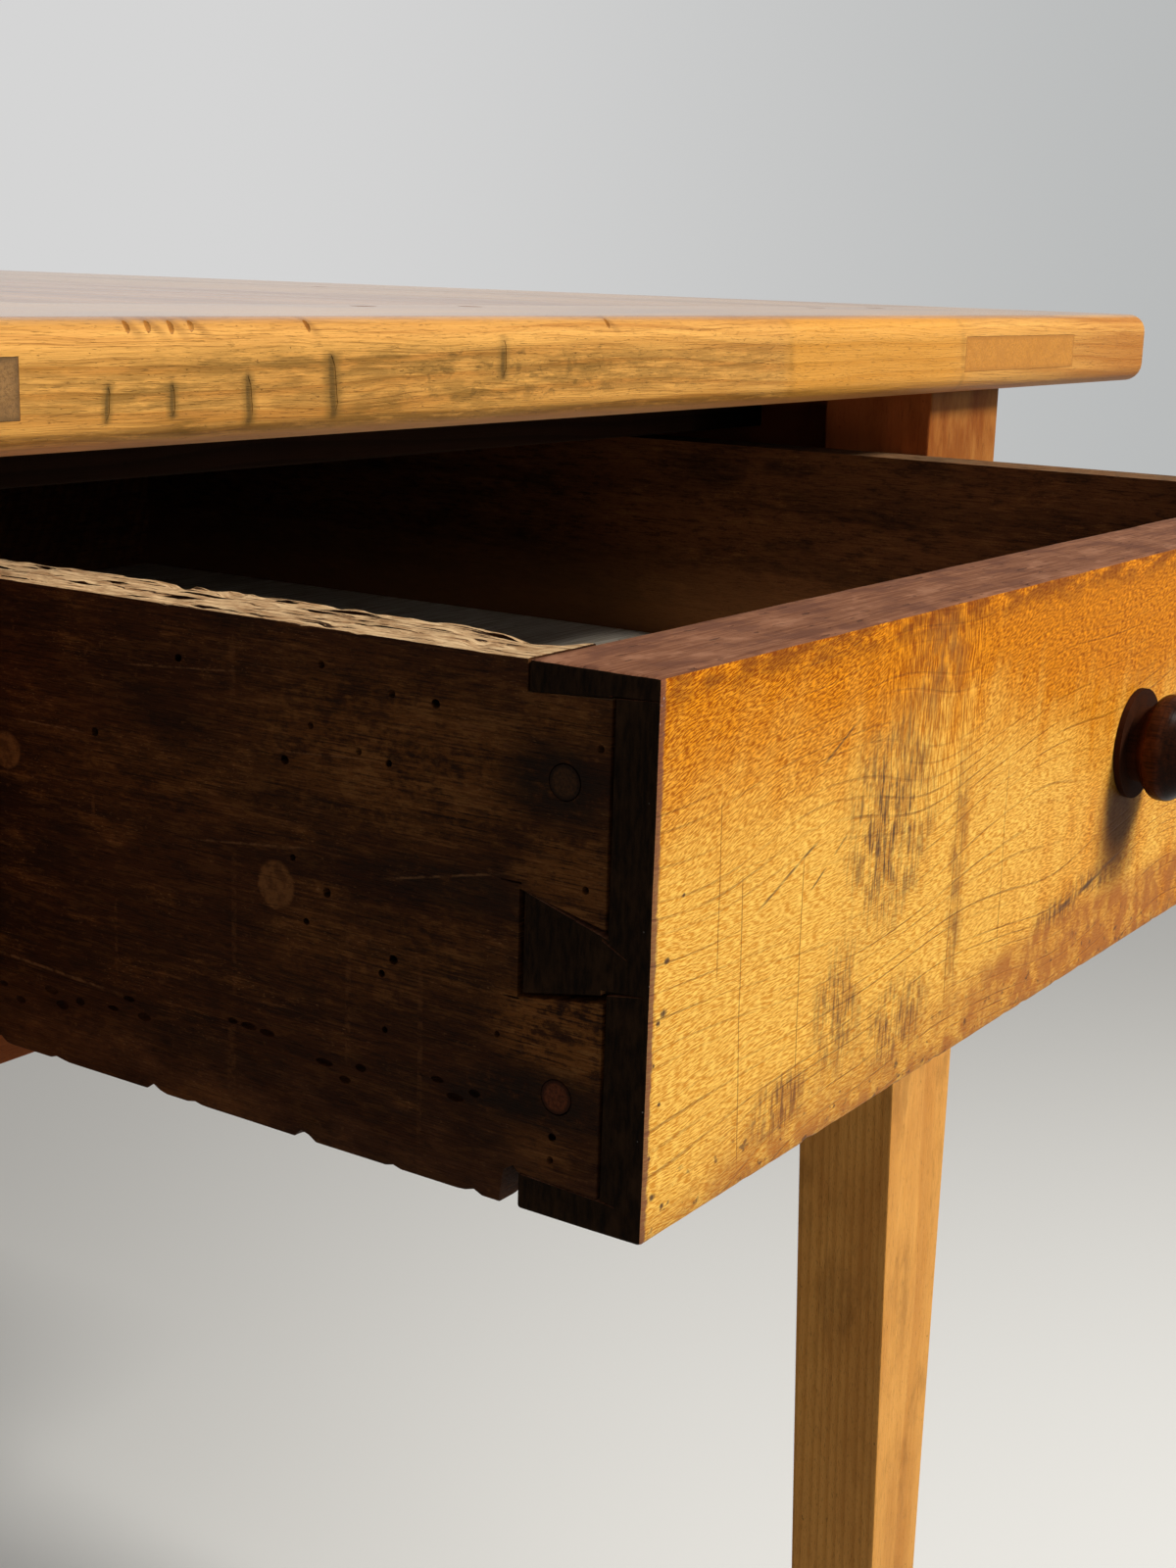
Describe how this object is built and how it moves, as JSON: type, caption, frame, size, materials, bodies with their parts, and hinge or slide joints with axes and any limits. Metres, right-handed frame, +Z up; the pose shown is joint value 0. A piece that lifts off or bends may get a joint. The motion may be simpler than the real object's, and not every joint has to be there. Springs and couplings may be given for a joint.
{
  "type": "farmhouse dining table",
  "caption": "Long farmhouse dining table: cleated plank top on tapered legs, with a deep dovetailed drawer that pulls out of its end by a turned knob.",
  "frame": {"origin": "on the floor, under the middle of the table's box with its drawer pulled out as at rest", "axes": "+Z up, +Y along the table away from the drawer, which opens towards -Y; +X to the right of someone facing the drawer"},
  "size_m": [0.854, 1.9816, 0.76],
  "materials": {
    "top_wood": "waxed honey-coloured fruitwood, worn edges",
    "frame_wood": "waxed fruitwood",
    "inner_wood": "unfinished softwood, darkened by age",
    "peg_wood": "dark oak pegs",
    "nail_iron": "hand-made iron nails",
    "drawer_face_wood": "waxed figured fruitwood",
    "drawer_side_wood": "dark aged walnut, worm-eaten and worn",
    "drawer_bottom_wood": "pale bare poplar",
    "knob_wood": "dark turned hardwood, polished by hands"
  },
  "bodies": {
    "table": {"top_plank_left": "top_wood", "top_plank_middle": "top_wood", "top_plank_right": "top_wood", "cleat_front": "top_wood", "cleat_back": "top_wood", "leg_front_left": "frame_wood", "leg_front_right": "frame_wood", "leg_back_left": "frame_wood", "leg_back_right": "frame_wood", "apron_left": "frame_wood", "apron_right": "frame_wood", "apron_back": "frame_wood", "drawer_rail": "frame_wood", "bearer_front": "inner_wood", "bearer_middle": "inner_wood", "bearer_back": "inner_wood", "runner_left": "inner_wood", "runner_right": "inner_wood", "guide_left": "inner_wood", "guide_right": "inner_wood", "stop_left": "inner_wood", "stop_right": "inner_wood", "cleat_pegs": "peg_wood", "top_pegs": "peg_wood", "joint_pegs": "peg_wood", "runner_nails": "nail_iron"},
    "drawer": {"drawer_front": "drawer_face_wood", "drawer_side_left": "drawer_side_wood", "drawer_side_right": "drawer_side_wood", "drawer_back": "drawer_side_wood", "drawer_bottom_front": "drawer_bottom_wood", "drawer_bottom_middle": "drawer_bottom_wood", "drawer_bottom_rear": "drawer_bottom_wood", "drawer_pegs": "peg_wood", "drawer_knob": "knob_wood", "bottom_nails": "nail_iron"}
  },
  "joints": [
    {"name": "drawer_slide", "type": "slide", "parent": "table", "child": "drawer", "axis": [0, -1, 0], "range_m": [-0.1765, 0.27]}
  ]
}
